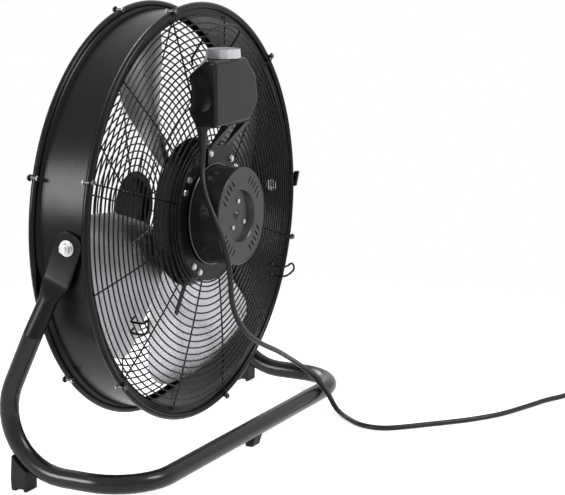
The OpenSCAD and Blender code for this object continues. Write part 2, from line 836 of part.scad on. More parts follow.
module control_box_base() color("#232427") in_drum() difference() {
    box_half(box_guard_y - 1, box_joint_y) box_solid(0, box_back);
    difference() {
        box_solid(box_t, box_back + 10);
        for (post = box_posts) box_post(post, box_guard_y, box_back, post_r);
        scoop_ball(box_t);
    }
    scoop_ball(0);
    translate([knob_x, knob_y, box_top - box_t - 1]) cylinder(r = knob_bore_r, h = box_t + 2);
    translate([gland_x, gland_y, box_bottom - 1]) cylinder(r = gland_neck_r + gap, h = box_t + 2);
    for (post = box_posts) {
        box_post(post, box_guard_y - 1, box_back, box_screw_r + gap);
        box_post(post, box_guard_y - 1, box_guard_y + box_screw_head_h + 0.5, box_screw_head_r + 0.3);
    }
}

module control_box_cover() color("#232427") in_drum() difference() {
    box_half(box_joint_y + gap, box_back + 1) box_solid(0, box_back);
    difference() {
        box_solid(box_t, box_back - box_t);
        for (post = box_posts) box_post(post, box_guard_y, box_back, post_r);
        scoop_ball(box_t);
    }
    scoop_ball(0);
    for (post = box_posts) box_post(post, box_guard_y, box_back - box_t, box_screw_r + gap);
}

module control_box_screws() color("#8d9094") in_drum() for (post = box_posts) {
    box_post(post, box_guard_y + 0.3, box_guard_y + 0.3 + box_screw_head_h, box_screw_head_r);
    box_post(post, box_guard_y + 0.3, box_back - box_t - 1, box_screw_r);
}

module control_box_bracket() color("#55585c") in_drum() difference() {
    union() {
        translate([bracket_from, bracket_y, bracket_low])
            cube([bracket_w, shelf_t, bracket_high - bracket_low]);
        translate([shelf_from, shelf_in, box_bottom - gap - shelf_t])
            cube([shelf_w, shelf_to - shelf_in, shelf_t]);
        for (x = arm_x) along_x(x, arm_w) polygon([
            [bracket_y + shelf_t / 2, arm_low], [bracket_y + shelf_t / 2, arm_low + shelf_t],
            [shelf_in + 1, box_bottom - gap - shelf_t / 3], [shelf_to - 1, box_bottom - gap - shelf_t / 3],
            [shelf_to - 1, box_bottom - gap - shelf_t * 2]
        ]);
    }
    mount_holes();
    disc(cover_r + 1, 0, shelf_to);
}

module run_capacitor() color("#c9c9c4") in_drum()
    translate([capacitor_x, box_guard_y + box_t + capacitor_r + gap, capacitor_z])
        rotate([0, 90, 0]) cylinder(r = capacitor_r, h = capacitor_l);

module speed_switch() color("#3a3a3c") in_drum() difference() {
    translate([knob_x - switch_w / 2, knob_y - switch_w / 2, box_top - box_t - gap - switch_h])
        cube([switch_w, switch_w, switch_h]);
    translate([knob_x, knob_y, box_top - box_t - spindle_in - 0.4])
        cylinder(r = knob_bore_r, h = spindle_in + 2);
}

module cord_gland() color("#1a1a1b") in_drum() translate([gland_x, gland_y, 0]) {
    translate([0, 0, box_bottom - gap - gland_h]) cylinder(r = gland_r, h = gland_h);
    translate([0, 0, box_bottom - gland_h - relief_h])
        cylinder(r1 = relief_tip_r, r2 = gland_r - 1.2, h = relief_h);
    translate([0, 0, box_bottom - 1]) cylinder(r = gland_neck_r, h = box_t + 3);
}

module knob_outline(r) polygon([
    for (i = [0 : knob_flats - 1]) [r * cos(i * 360 / knob_flats), r * sin(i * 360 / knob_flats)]
]);

module speed_knob() color("#c4c6c9") in_drum() translate([knob_x, knob_y, box_top + knob_lift]) difference() {
    union() {
        linear_extrude(knob_h - knob_top_h) knob_outline(knob_r);
        translate([0, 0, knob_h - knob_top_h])
            linear_extrude(knob_top_h, scale = 0.93) knob_outline(knob_r);
    }
    translate([0, 0, -1]) cylinder(r = spindle_r + gap / 2, h = spindle_up + 1);
    translate([knob_r * 0.65, 0, knob_h]) cube([knob_r * 0.5, 1.4, 1.2], center = true);
}

module knob_spindle() color("#b9bcc0") in_drum()
    translate([knob_x, knob_y, box_top - box_t - spindle_in])
        cylinder(r = spindle_r, h = box_t + spindle_in + knob_lift + spindle_up - 0.3);

// ---- tilt pivots ----
module pivot_parts() both_sides() in_drum()
    translate([0, pivot_back, -pivot_drop]) rotate([0, 90, 0]) children();

module pivot_bolts() color("#d6d8da") pivot_parts() {
    translate([0, 0, bolt_seat - bolt_head_h]) intersection() {
        cylinder(r = bolt_head_r, h = bolt_head_h);
        translate([0, 0, bolt_head_r * 1.5]) sphere(r = bolt_head_r * 1.5);
    }
    translate([0, 0, bolt_seat - 2])
        cylinder(r = bolt_r, h = plate_x + plate_t + washer_t + nut_h + bolt_tip - bolt_seat + 2);
}

module washer(r, t) difference() {
    cylinder(r = r, h = t);
    translate([0, 0, -1]) cylinder(r = bolt_r + bolt_clear, h = t + 2);
}

module pivot_washers() color("#a9acb0") pivot_parts() {
    translate([0, 0, wall_r + gap]) washer(bolt_head_r + 1.5, plate_x - run - wall_r - gap);
    translate([0, 0, plate_x + plate_t + run]) washer(bolt_head_r + 1.5, washer_t - run - gap);
}

module pivot_nuts() color("#d6d8da") pivot_parts()
translate([0, 0, plate_x + plate_t + washer_t]) difference() {
    union() {
        cylinder(r = nut_r * 1.08, h = 1.2);
        cylinder(r = nut_r, h = nut_h, $fn = 6);
    }
    translate([0, 0, -1]) cylinder(r = bolt_r + gap, h = nut_h + 2);
}

// ---- fan ----
function half_span(r) =
    blade_span / 2 * (r < root_full_r
        ? root_share + (1 - root_share) * sin(90 * (r - root_r) / (root_full_r - root_r)) : 1)
    - (r > tip_r - tip_round
        ? (tip_round - sqrt(max(0, pow(tip_round, 2) - pow(r - tip_r + tip_round, 2)))) / r * 180 / PI : 0);
function blade_y(turn) =
    blade_mid_y - blade_depth * turn / blade_span + camber * (1 - pow(2 * turn / blade_span, 2));
function pitch(r) = atan(blade_depth / (r * blade_span * PI / 180));

// a sheet on the blade's surface: rows run outwards, columns across from the trailing to the leading edge
module blade_sheet(rows, halves, low, high, columns = 8) {
    function grid(lift) = [
        for (k = [0 : len(rows) - 1]) for (j = [-columns / 2 : columns / 2])
            let (turn = halves[k] * j / (columns / 2))
                [rows[k] * cos(turn), blade_y(turn) + lift, rows[k] * sin(turn)]
    ];
    n = columns + 1;
    m = len(rows);
    size = n * m;
    faces = concat(
        [for (k = [0 : m - 2]) for (j = [0 : n - 2]) [k * n + j, (k + 1) * n + j, (k + 1) * n + j + 1]],
        [for (k = [0 : m - 2]) for (j = [0 : n - 2]) [k * n + j, (k + 1) * n + j + 1, k * n + j + 1]],
        [for (k = [0 : m - 2]) for (j = [0 : n - 2])
            [size + k * n + j, size + (k + 1) * n + j + 1, size + (k + 1) * n + j]],
        [for (k = [0 : m - 2]) for (j = [0 : n - 2])
            [size + k * n + j, size + k * n + j + 1, size + (k + 1) * n + j + 1]],
        [for (j = [0 : n - 2]) each [
            [j, j + 1, size + j + 1], [j, size + j + 1, size + j],
            [(m - 1) * n + j, size + (m - 1) * n + j + 1, (m - 1) * n + j + 1],
            [(m - 1) * n + j, size + (m - 1) * n + j, size + (m - 1) * n + j + 1]
        ]],
        [for (k = [0 : m - 2]) each [
            [k * n, size + (k + 1) * n, (k + 1) * n], [k * n, size + k * n, size + (k + 1) * n],
            [k * n + n - 1, (k + 1) * n + n - 1, size + (k + 1) * n + n - 1],
            [k * n + n - 1, size + (k + 1) * n + n - 1, size + k * n + n - 1]
        ]]
    );
    polyhedron(points = concat(grid(low), grid(high)), faces = faces);
}

function blade_rows() = [for (i = [0 : 12]) root_r + (tip_r - root_r) * sin(i * 90 / 12)];

module rivet_places(index) {
    for (r = rivet_places_r)
        rotate([0, -blade_turn - index * 360 / blade_count, 0])
            translate([r, blade_y(0), 0]) rotate([pitch(r), 0, 0]) rotate([-90, 0, 0]) children();
}

module blade(index) color("#a7abb0") in_drum() difference() {
    rotate([0, -blade_turn - index * 360 / blade_count, 0])
        blade_sheet(blade_rows(), [for (r = blade_rows()) half_span(r)], -blade_t / 2, blade_t / 2);
    rivet_places(index) rivet_hole();
}

module rivet_hole() translate([0, 0, -rivet_reach]) cylinder(r = rivet_r + gap, h = 2 * rivet_reach);

module blade_1() blade(0);
module blade_2() blade(1);
module blade_3() blade(2);
module blade_4() blade(3);

module fan_hub() color("#8f9398") in_drum() sleeve(hub_r, shaft_r + gap / 2, hub_from, hub_to);

module blade_arms() color("#8f9398") in_drum() difference() {
    for (i = [0 : blade_count - 1]) rotate([0, -blade_turn - i * 360 / blade_count, 0])
        blade_sheet(arm_rows, [for (r = arm_rows) arm_half],
            blade_t / 2 + arm_lift, blade_t / 2 + arm_lift + arm_t, 4);
    for (i = [0 : blade_count - 1]) rivet_places(i) rivet_hole();
}

module blade_rivets() color("#b9bcc0") in_drum() for (i = [0 : blade_count - 1]) rivet_places(i) {
    translate([0, 0, -blade_t / 2 - rivet_head_h]) cylinder(r = rivet_head_r, h = rivet_head_h - 0.1);
    translate([0, 0, -blade_t / 2 - 1]) cylinder(r = rivet_r, h = blade_t + arm_lift + arm_t + 2);
    translate([0, 0, blade_t / 2 + arm_lift + arm_t + 0.15]) cylinder(r = rivet_head_r, h = rivet_head_h);
}

module fan_shaft() color("#9a9da1") in_drum() disc(shaft_r, shaft_from, rear_bearing_y + bearing_w - 0.6);

module rotor_core() color("#6b6d70") in_drum() sleeve(core_r, shaft_r + gap / 2, core_from, core_to);

// ---- cord ----
function cord_route() = concat([for (p = cord_hang) p + [0, drum_y, pivot_z + pivot_drop]], cord_floor);
function tail_route() = [
    [coil_x - coil_r, coil_y, coil_h - cord_r],
    [coil_x - coil_r, coil_y + 12, coil_h - cord_r + 0.3],
    [coil_x - coil_r + 1.6, coil_y + 24, plug_h / 2 - 0.2],
    [coil_x - coil_r + 2, coil_y + tail_l - 10, plug_h / 2],
    [coil_x - coil_r + 2, coil_y + tail_l - 0.1, plug_h / 2]
];
function pick(list, i) = list[min(max(i, 0), len(list) - 1)];
function between(list, i, t) =
    let (a = pick(list, i - 1), b = pick(list, i), c = pick(list, i + 1), d = pick(list, i + 2))
        0.5 * (2 * b + (c - a) * t + (2 * a - 5 * b + 4 * c - d) * t * t
            + (3 * b - a - 3 * c + d) * t * t * t);
function smooth(list, steps) = concat(
    [for (i = [0 : len(list) - 2]) for (k = [0 : steps - 1]) between(list, i, k / steps)],
    [list[len(list) - 1]]
);
function unit(v) = v / norm(v);
function heading(list, i) = unit(pick(list, i + 1) - pick(list, i - 1));

module swept_tube(line, r, sides, off = [1, 1, 0.2]) loft([
    for (i = [0 : len(line) - 1])
        let (t = i == 0 && line[0][2] > pivot_z ? [0, 0, -1] : heading(line, i),
             u = unit(cross(t, off)), v = cross(t, u))
            [for (k = [0 : sides - 1]) line[i] + r * (cos(k * 360 / sides) * u + sin(k * 360 / sides) * v)]
]);

module power_cord() color("#17181a") swept_tube(smooth(cord_route(), 2), cord_r, cord_sides);
module cord_tail() color("#17181a") swept_tube(smooth(tail_route(), 2), cord_r, cord_sides);

module cord_coil() color("#17181a") translate([coil_x, coil_y, 0]) rotate_extrude() polygon([
    [coil_r - coil_w / 2, 0], [coil_r + coil_w / 2, 0], [coil_r + coil_w / 2, cord_d],
    [coil_r + coil_w / 4, coil_h], [coil_r - coil_w / 4, coil_h], [coil_r - coil_w / 2, cord_d]
]);

module at_plug() translate([coil_x - coil_r + 2, coil_y + tail_l, plug_h / 2]) rotate([-90, 0, 0]) children();

module mains_plug() color("#151516") at_plug() difference() {
    union() {
        cylinder(r1 = cord_r + 1, r2 = plug_h / 3, h = plug_relief);
        translate([0, 0, plug_relief + plug_l / 2]) cube([plug_w, plug_h, plug_l], center = true);
    }
    plug_slots(gap);
}

module plug_slots(extra) {
    for (x = [-pin_step / 2, pin_step / 2])
        translate([x, pin_drop, plug_relief + plug_l + pin_l / 2 - pin_in / 2])
            cube([pin_t + 2 * extra, pin_w + 2 * extra, pin_l + pin_in + (extra > 0 ? 2 : 0)], center = true);
    translate([0, pin_drop + earth_step, plug_relief + plug_l - pin_in - extra])
        cylinder(r = earth_r + extra, h = pin_in + pin_l + (extra > 0 ? 2 : 0));
}

module plug_pins() color("#c9b37a") at_plug() plug_slots(0);

// ---- the sub-parts, each drawn on its own or all together ----
stand_tube();
leg_end_left();
leg_end_right();
foot_front_left();
foot_front_right();
foot_rear();
foot_screws();
drum_shell();
rear_guard_rings();
rear_guard_spokes();
front_guard_rings();
front_guard_spokes();
front_centre_dish();
rear_guard_screws();
front_guard_screws();
guard_nuts();
carry_handle();
cord_hook_left();
cord_hook_right();
motor_housing();
motor_strap();
motor_mount_ring();
motor_mount_bolts();
motor_rear_cover();
motor_cover_screws();
motor_stator();
front_bearing();
rear_bearing();
control_box_base();
control_box_cover();
control_box_bracket();
control_box_screws();
run_capacitor();
speed_switch();
cord_gland();
pivot_bolts();
pivot_washers();
pivot_nuts();
fan_shaft();
rotor_core();
fan_hub();
blade_arms();
blade_1();
blade_2();
blade_3();
blade_4();
blade_rivets();
speed_knob();
knob_spindle();
power_cord();
cord_coil();
cord_tail();
mains_plug();
plug_pins();
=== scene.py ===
import bmesh
import bpy
import json
import math
from mathutils import Matrix, Vector


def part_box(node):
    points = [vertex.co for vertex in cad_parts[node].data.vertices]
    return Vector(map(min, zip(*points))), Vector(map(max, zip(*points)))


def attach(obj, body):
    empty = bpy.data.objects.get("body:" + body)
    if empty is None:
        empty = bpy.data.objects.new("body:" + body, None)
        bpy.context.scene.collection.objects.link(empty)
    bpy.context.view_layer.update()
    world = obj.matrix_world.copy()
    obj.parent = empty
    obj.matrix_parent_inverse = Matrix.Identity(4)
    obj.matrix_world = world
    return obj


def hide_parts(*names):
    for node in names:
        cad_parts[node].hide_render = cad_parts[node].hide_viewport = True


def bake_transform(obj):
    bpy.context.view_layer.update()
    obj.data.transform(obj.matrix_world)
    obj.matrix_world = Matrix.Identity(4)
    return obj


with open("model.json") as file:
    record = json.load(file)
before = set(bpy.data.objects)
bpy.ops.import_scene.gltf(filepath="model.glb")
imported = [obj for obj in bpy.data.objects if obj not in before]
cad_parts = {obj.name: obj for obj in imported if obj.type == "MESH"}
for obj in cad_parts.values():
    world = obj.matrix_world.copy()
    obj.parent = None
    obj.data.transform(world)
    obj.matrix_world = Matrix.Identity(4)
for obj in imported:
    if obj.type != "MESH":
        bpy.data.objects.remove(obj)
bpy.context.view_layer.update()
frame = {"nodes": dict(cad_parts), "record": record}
nodes = frame["nodes"]

# ---- The studio ----
# The camera stands behind the motor side at a little over knee height, a long way off.
# A white room and a few large soft lamps light the fan, and the floor fades to the white of the room.
camera = bpy.data.objects.new("camera", bpy.data.cameras.new("camera"))
bpy.context.scene.collection.objects.link(camera)
camera.data.lens = 115.65
camera.data.sensor_width = 36.0
camera.data.clip_end = 60.0
camera.matrix_world = Matrix((
    (-0.4552, -0.1730, 0.8735, 2.1216),
    (0.8904, -0.0884, 0.4465, 1.2266),
    (0.0, 0.9810, 0.1943, 0.7533),
    (0.0, 0.0, 0.0, 1.0),
))
bpy.context.scene.camera = camera
bpy.context.scene.view_settings.view_transform = "Standard"


def seen_rays(tree):
    """1 for rays from the camera and for those mirrored or refracted on their way to it, else 0."""
    path = tree.nodes.new("ShaderNodeLightPath")
    total = path.outputs["Is Camera Ray"]
    for kind in ("Is Glossy Ray", "Is Transmission Ray"):
        both = tree.nodes.new("ShaderNodeMath")
        both.operation = "ADD"
        both.use_clamp = True
        tree.links.new(total, both.inputs[0])
        tree.links.new(path.outputs[kind], both.inputs[1])
        total = both.outputs["Value"]
    return total


def new_material(name):
    """A new material, with its node tree and its shader."""
    material = bpy.data.materials.new(name)
    material.use_nodes = True
    return material, material.node_tree, material.node_tree.nodes["Principled BSDF"]


world = bpy.data.worlds.new("white_room")
world.use_nodes = True
tree = world.node_tree
for n in list(tree.nodes):
    tree.nodes.remove(n)
seen = tree.nodes.new("ShaderNodeBackground")
seen.inputs["Strength"].default_value = 1.0
fill = tree.nodes.new("ShaderNodeBackground")
fill.inputs["Strength"].default_value = 0.35
for shade in (seen, fill):
    shade.inputs["Color"].default_value = (1.0, 1.0, 1.0, 1.0)
mix = tree.nodes.new("ShaderNodeMixShader")
out = tree.nodes.new("ShaderNodeOutputWorld")
tree.links.new(seen_rays(tree), mix.inputs["Fac"])
tree.links.new(fill.outputs["Background"], mix.inputs[1])
tree.links.new(seen.outputs["Background"], mix.inputs[2])
tree.links.new(mix.outputs["Shader"], out.inputs["Surface"])
bpy.context.scene.world = world

bpy.ops.object.select_all(action="DESELECT")
floor_z = -0.0005
bpy.ops.mesh.primitive_plane_add(size=24.0, location=(0.0, 0.0, floor_z))
floor = bpy.context.object
floor.name = "studio_floor"
pale, tree, shader = new_material("pale_floor")
shader.inputs["Base Color"].default_value = (0.8, 0.8, 0.8, 1.0)
shader.inputs["Roughness"].default_value = 0.9
shader.inputs["Specular IOR Level"].default_value = 0.1
place = tree.nodes.new("ShaderNodeTexCoord")
reach = tree.nodes.new("ShaderNodeVectorMath")
reach.operation = "LENGTH"
fade = tree.nodes.new("ShaderNodeMapRange")
fade.interpolation_type = "SMOOTHSTEP"
fade_start_r, fade_end_r = 0.45, 1.1
fade.inputs["From Min"].default_value = fade_start_r
fade.inputs["From Max"].default_value = fade_end_r
glow = tree.nodes.new("ShaderNodeEmission")
lift = tree.nodes.new("ShaderNodeEmission")
lift.inputs["Strength"].default_value = 0.75
lifted = tree.nodes.new("ShaderNodeAddShader")
faded = tree.nodes.new("ShaderNodeMixShader")
kept = tree.nodes.new("ShaderNodeMixShader")
tree.links.new(place.outputs["Object"], reach.inputs[0])
tree.links.new(reach.outputs["Value"], fade.inputs["Value"])
tree.links.new(shader.outputs["BSDF"], lifted.inputs[0])
tree.links.new(lift.outputs["Emission"], lifted.inputs[1])
tree.links.new(fade.outputs["Result"], faded.inputs["Fac"])
tree.links.new(lifted.outputs["Shader"], faded.inputs[1])
tree.links.new(glow.outputs["Emission"], faded.inputs[2])
tree.links.new(seen_rays(tree), kept.inputs["Fac"])
tree.links.new(shader.outputs["BSDF"], kept.inputs[1])
tree.links.new(faded.outputs["Shader"], kept.inputs[2])
tree.links.new(kept.outputs["Shader"], tree.nodes["Material Output"].inputs["Surface"])
floor.data.materials.append(pale)

lamp_aim = (0.0, 0.0, 0.3)
for name, spot, size, watts in (
    ("key_lamp", (-0.6, 2.6, 2.6), 1.4, 70.0),
    ("side_lamp", (2.9, -1.5, 1.25), 1.3, 90.0),
    ("outlet_lamp", (-1.4, -2.8, 1.7), 1.8, 60.0),
):
    lamp = bpy.data.objects.new(name, bpy.data.lights.new(name, "AREA"))
    lamp.data.shape = "DISK"
    lamp.data.size = size
    lamp.data.energy = watts
    lamp.location = spot
    lamp.rotation_euler = (Vector(lamp_aim) - Vector(spot)).to_track_quat("-Z", "Y").to_euler()
    bpy.context.scene.collection.objects.link(lamp)

# ---- The mains cord ----
# A round three-core lead in black PVC, 7.5 mm thick, moulded to its plug and held by the gland under the box.
# It hangs to the rear bar, passes behind it to the floor, and the rest lies in a coil.
# Its route is given in millimetres, and the coil has a little over two turns.
cord_w = 7.5
cord_r = cord_w / 2000.0
lie_z = cord_w / 2.0
hang = [
    (45, 46.2, 413), (45.3, 46.2, 404.5), (48.3, 47.1, 391.4), (56.2, 52.2, 374.1), (65.9, 63.1, 353.8),
    (71.9, 78.5, 326.9), (71.1, 88.2, 303), (67, 94.1, 276.6), (61.9, 95.9, 247.7), (53.6, 94.1, 212.9),
    (39.5, 94.7, 185.8), (16.1, 96.7, 161.2), (-20.1, 99.2, 139.5), (-73.5, 97.9, 115.9),
    (-148.8, 88.3, 81.2), (-182.6, 92.7, 59.2), (-195.5, 101.2, 44.3), (-198.2, 114.2, 28.3),
    (-188.1, 135.2, 6.8), (-156.2, 172.8, lie_z), (-140.6, 201.7, lie_z), (-142.1, 229.1, lie_z),
    (-159.8, 252, lie_z), (-185.1, 276, lie_z), (-210.8, 300.1, lie_z), (-240, 325, lie_z),
    (-284.3, 352.9, lie_z), (-341.3, 373.9, lie_z), (-382, 387, lie_z), (-419, 404, lie_z), (-455, 412, lie_z),
]


def gone(lap, start, rate):
    """How far a change that starts at a lap has gone, from 0 to 1."""
    return min(1.0, max(0.0, (lap - start) * rate))


def shift(amount, t):
    """An amount that sets in gently and ends gently while t goes from 0 to 1."""
    return amount * t * t * (3 - 2 * t)


coil_x, coil_y, coil_r, coil_start = -484, 462, 45.75, -105.0
points_per_lap, coil_points = 24.0, 54
sunk = 0.8
turns = []
for i in range(coil_points):
    lap = i / points_per_lap
    r = coil_r - shift(cord_w, gone(lap, 0.75, 4.0)) + shift(lie_z, gone(lap, 1.75, 4.0))
    z = lie_z + shift(cord_w, gone(lap, 1.5, 4.0)) - sunk * gone(lap, 2.0, 5.0)
    a = math.radians(coil_start - 360.0 * lap)
    turns.append((coil_x + r * math.cos(a), coil_y + r * math.sin(a), z))
turns += [(-526, 474, 10.75), (-524.4, 486, 12.3), (-524, 498, 12.5), (-524, 507.9, 12.5)]


def smooth_line(points, steps):
    """Points in millimetres, joined by a smooth line in metres with that many steps between two."""
    route = [Vector(p) / 1000.0 for p in points]
    line = []
    for i in range(len(route) - 1):
        a, b = route[max(i - 1, 0)], route[i]
        c, d = route[i + 1], route[min(i + 2, len(route) - 1)]
        for k in range(steps):
            t = k / steps
            line.append(0.5 * (2 * b + (c - a) * t + (2 * a - 5 * b + 4 * c - d) * t * t
                               + (3 * b - a - 3 * c + d) * t * t * t))
    line.append(route[-1])
    return line


def round_line(name, line, radius):
    """A round tube along a line, as a smooth mesh."""
    curve = bpy.data.curves.new(name, "CURVE")
    curve.dimensions = "3D"
    spline = curve.splines.new("POLY")
    spline.points.add(len(line) - 1)
    for point, spot in zip(spline.points, line):
        point.co = (spot.x, spot.y, spot.z, 1.0)
    curve.bevel_depth = radius
    curve.bevel_resolution = 4
    curve.use_fill_caps = True
    tube = bpy.data.objects.new(name, curve)
    bpy.context.scene.collection.objects.link(tube)
    bpy.ops.object.select_all(action="DESELECT")
    tube.select_set(True)
    bpy.context.view_layer.objects.active = tube
    bpy.ops.object.convert(target="MESH")
    bpy.ops.object.shade_smooth()
    return bpy.context.object


def add_noise(tree, space, scale, detail, roughness=0.5):
    """A noise texture in a space of its own, such as Object."""
    noise = tree.nodes.new("ShaderNodeTexNoise")
    noise.inputs["Scale"].default_value = scale
    noise.inputs["Detail"].default_value = detail
    noise.inputs["Roughness"].default_value = roughness
    tree.links.new(space, noise.inputs["Vector"])
    return noise.outputs["Fac"]


def paint(material, *pieces):
    """Gives the pieces this material and no other."""
    for piece in pieces:
        piece.data.materials.clear()
        piece.data.materials.append(material)


cord_line = smooth_line(hang + turns, 4)
cord = round_line("mains_cord", cord_line, cord_r)
pvc, tree, shader = new_material("black_pvc")
shader.inputs["Specular IOR Level"].default_value = 0.25
place = tree.nodes.new("ShaderNodeTexCoord")
scuffs = add_noise(tree, place.outputs["Object"], 90.0, 4.0)
tint = tree.nodes.new("ShaderNodeValToRGB")
tint.color_ramp.elements[0].color = (0.008, 0.008, 0.009, 1.0)
tint.color_ramp.elements[1].color = (0.018, 0.018, 0.019, 1.0)
sheen = tree.nodes.new("ShaderNodeMapRange")
sheen.inputs["To Min"].default_value = 0.28
sheen.inputs["To Max"].default_value = 0.44
skin = tree.nodes.new("ShaderNodeBump")
skin.inputs["Strength"].default_value = 0.12
skin.inputs["Distance"].default_value = 0.0002
tree.links.new(scuffs, tint.inputs["Fac"])
tree.links.new(scuffs, sheen.inputs["Value"])
tree.links.new(scuffs, skin.inputs["Height"])
tree.links.new(tint.outputs["Color"], shader.inputs["Base Color"])
tree.links.new(sheen.outputs["Result"], shader.inputs["Roughness"])
tree.links.new(skin.outputs["Normal"], shader.inputs["Normal"])
paint(pvc, cord)
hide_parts("power_cord", "cord_coil", "cord_tail")
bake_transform(cord)

# ---- The stand's tube ----
# One length of 25 mm steel tube, bent into two legs, two runners and a rear bar.
# It has a satin black powder coat with a fine orange-peel grain, a little dust and duller, handled patches.
coat = bpy.data.node_groups.new("powder_coat", "ShaderNodeTree")
for name, kind in (("Base", "NodeSocketColor"), ("Dusty", "NodeSocketColor"), ("Gloss", "NodeSocketFloat"),
                   ("Dull", "NodeSocketFloat"), ("Patch Scale", "NodeSocketFloat"),
                   ("Grain Scale", "NodeSocketFloat"), ("Grain Depth", "NodeSocketFloat"),
                   ("Edge", "NodeSocketFloat")):
    coat.interface.new_socket(name=name, in_out="INPUT", socket_type=kind)
for name, kind in (("Color", "NodeSocketColor"), ("Roughness", "NodeSocketFloat"),
                   ("Normal", "NodeSocketVector")):
    coat.interface.new_socket(name=name, in_out="OUTPUT", socket_type=kind)
enter = coat.nodes.new("NodeGroupInput")
leave = coat.nodes.new("NodeGroupOutput")
place = coat.nodes.new("ShaderNodeTexCoord")
patches = coat.nodes.new("ShaderNodeTexNoise")
patches.inputs["Detail"].default_value = 5.0
patches.inputs["Roughness"].default_value = 0.6
grain = coat.nodes.new("ShaderNodeTexNoise")
grain.inputs["Detail"].default_value = 2.0
upward = coat.nodes.new("ShaderNodeNewGeometry")
split = coat.nodes.new("ShaderNodeSeparateXYZ")
facing = coat.nodes.new("ShaderNodeMapRange")
facing.inputs["From Min"].default_value = 0.3
facing.inputs["From Max"].default_value = 1.0
dust = coat.nodes.new("ShaderNodeMath")
dust.operation = "MULTIPLY"
stain = coat.nodes.new("ShaderNodeMix")
stain.data_type = "RGBA"
rough = coat.nodes.new("ShaderNodeMapRange")
rough.inputs["From Min"].default_value = 0.3
rough.inputs["From Max"].default_value = 0.7
rounded = coat.nodes.new("ShaderNodeBevel")
rounded.samples = 4
peel = coat.nodes.new("ShaderNodeBump")
peel.inputs["Distance"].default_value = 0.0004
link = coat.links.new
link(place.outputs["Object"], patches.inputs["Vector"])
link(place.outputs["Object"], grain.inputs["Vector"])
link(enter.outputs["Patch Scale"], patches.inputs["Scale"])
link(enter.outputs["Grain Scale"], grain.inputs["Scale"])
link(upward.outputs["Normal"], split.inputs["Vector"])
link(split.outputs["Z"], facing.inputs["Value"])
link(facing.outputs["Result"], dust.inputs[0])
link(patches.outputs["Fac"], dust.inputs[1])
link(dust.outputs["Value"], stain.inputs["Factor"])
link(enter.outputs["Base"], stain.inputs["A"])
link(enter.outputs["Dusty"], stain.inputs["B"])
link(patches.outputs["Fac"], rough.inputs["Value"])
link(enter.outputs["Gloss"], rough.inputs["To Min"])
link(enter.outputs["Dull"], rough.inputs["To Max"])
link(enter.outputs["Edge"], rounded.inputs["Radius"])
link(rounded.outputs["Normal"], peel.inputs["Normal"])
link(grain.outputs["Fac"], peel.inputs["Height"])
link(enter.outputs["Grain Depth"], peel.inputs["Strength"])
link(stain.outputs["Result"], leave.inputs["Color"])
link(rough.outputs["Result"], leave.inputs["Roughness"])
link(peel.outputs["Normal"], leave.inputs["Normal"])


def coated(name, base, dusty, gloss, dull, patch=9.0, grain=900.0, depth=0.1, metallic=0.0, specular=0.15,
           edge=0.0004):
    """A material of the powder coat's kind, in its own colour, gloss and grain."""
    material, tree, shader = new_material(name)
    shader.inputs["Metallic"].default_value = metallic
    shader.inputs["Specular IOR Level"].default_value = specular
    layer = tree.nodes.new("ShaderNodeGroup")
    layer.node_tree = coat
    layer.inputs["Base"].default_value = (base, base, base * 1.05, 1.0)
    layer.inputs["Dusty"].default_value = (dusty, dusty, dusty, 1.0)
    layer.inputs["Gloss"].default_value = gloss
    layer.inputs["Dull"].default_value = dull
    layer.inputs["Patch Scale"].default_value = patch
    layer.inputs["Grain Scale"].default_value = grain
    layer.inputs["Grain Depth"].default_value = depth
    layer.inputs["Edge"].default_value = edge
    for result, socket in (("Color", "Base Color"), ("Roughness", "Roughness"), ("Normal", "Normal")):
        tree.links.new(layer.outputs[result], shader.inputs[socket])
    return material


body_of = {n: b for b, members in frame["record"]["behaviour"]["bodies"].items() for n in members}


def fair(name, angle=50.0):
    """A copy of a node in its place, with double points merged and faces shaded smooth up to an angle."""
    piece = bpy.data.objects.new(name + "_fair", nodes[name].data.copy())
    bpy.context.scene.collection.objects.link(piece)
    bpy.ops.object.select_all(action="DESELECT")
    piece.select_set(True)
    bpy.context.view_layer.objects.active = piece
    bpy.ops.object.mode_set(mode="EDIT")
    bpy.ops.mesh.select_all(action="SELECT")
    bpy.ops.mesh.remove_doubles(threshold=0.00002)
    bpy.ops.object.mode_set(mode="OBJECT")
    bpy.ops.mesh.customdata_custom_splitnormals_clear()
    bpy.ops.object.shade_smooth_by_angle(angle=math.radians(angle))
    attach(piece, body_of[name])
    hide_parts(name)
    return piece


stand_coat = coated("stand_coat", 0.004, 0.012, 0.18, 0.28, specular=0.3)
paint(stand_coat, fair("stand_tube"))

# ---- The pressed leg ends ----
# The tube's upper ends, pressed flat into plates with a round eye for the pivot bolt.
# The press leaves a soft shoulder where the tube runs out, and the flat is duller than the tube.
plate_coat = coated("plate_coat", 0.004, 0.01, 0.3, 0.42, specular=0.14)
paint(plate_coat, fair("leg_end_left", 34.0), fair("leg_end_right", 34.0))

# ---- The feet ----
# Three moulded rubber blocks, screwed up into the tube from below.
# Their sides have a matt, slightly greyed skin, and the soles are scuffed.
foot_rubber = coated("foot_rubber", 0.008, 0.02, 0.5, 0.66, grain=1600.0, depth=0.25, specular=0.2, edge=0.0008)
paint(foot_rubber, nodes["foot_front_left"], nodes["foot_front_right"], nodes["foot_rear"])

